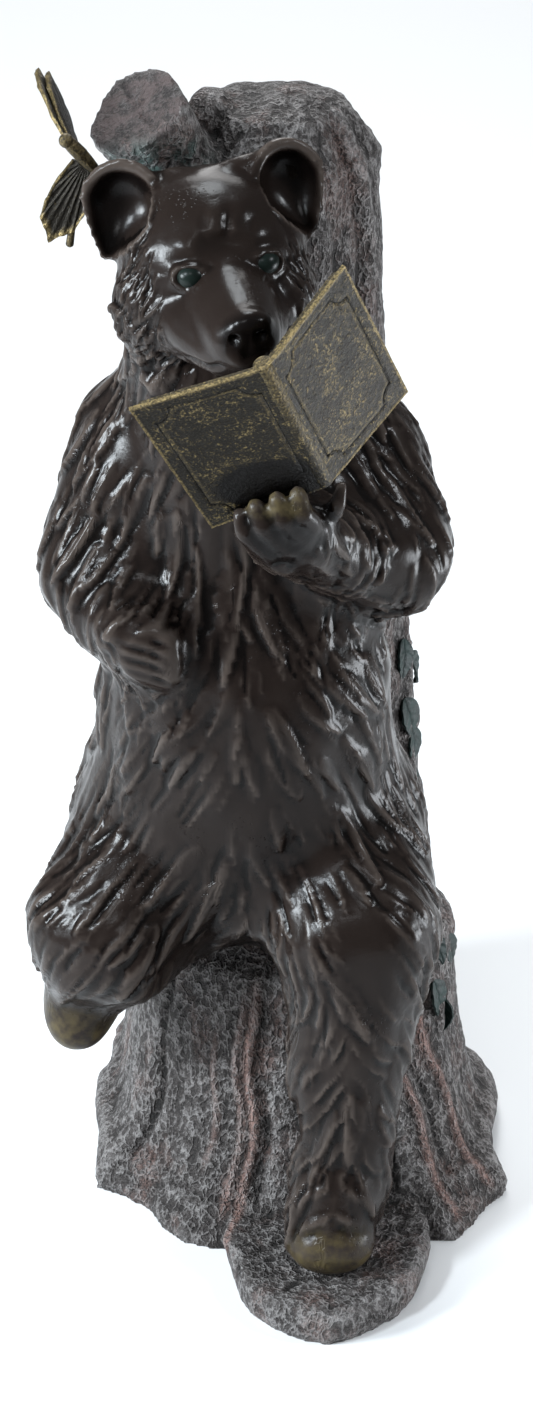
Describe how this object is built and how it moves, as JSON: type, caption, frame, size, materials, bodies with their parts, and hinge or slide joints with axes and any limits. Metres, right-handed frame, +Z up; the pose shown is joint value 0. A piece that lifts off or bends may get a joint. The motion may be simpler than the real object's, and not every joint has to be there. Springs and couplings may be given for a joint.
{
  "type": "cast aluminium bear garden statue",
  "caption": "Garden figure: a seated bear reads an open book in front of a tree stump, with a butterfly on the sawn branch; cast metal with a dark patina.",
  "frame": {"origin": "on the ground under the stump, on the axis between the trunk and the front slab", "axes": "+Z up, the bear faces -Y, +X to the viewer's right"},
  "size_m": [0.3194, 0.3948, 0.7588],
  "materials": {
    "bear_patina": "cast aluminium with a glossy brown-black bronze patina, olive brown on the feet and fingertips",
    "stump_patina": "rough cast aluminium, grey speckled patina with reddish hollows and green leaves",
    "book_brass": "cast aluminium with an antique brass finish, dark and speckled, bright along the edges",
    "butterfly_brass": "cast aluminium with a dark bronze finish and brass edges"
  },
  "bodies": {
    "root": {"bear": "bear_patina", "tree_stump": "stump_patina", "book": "book_brass", "butterfly": "butterfly_brass"}
  },
  "joints": []
}
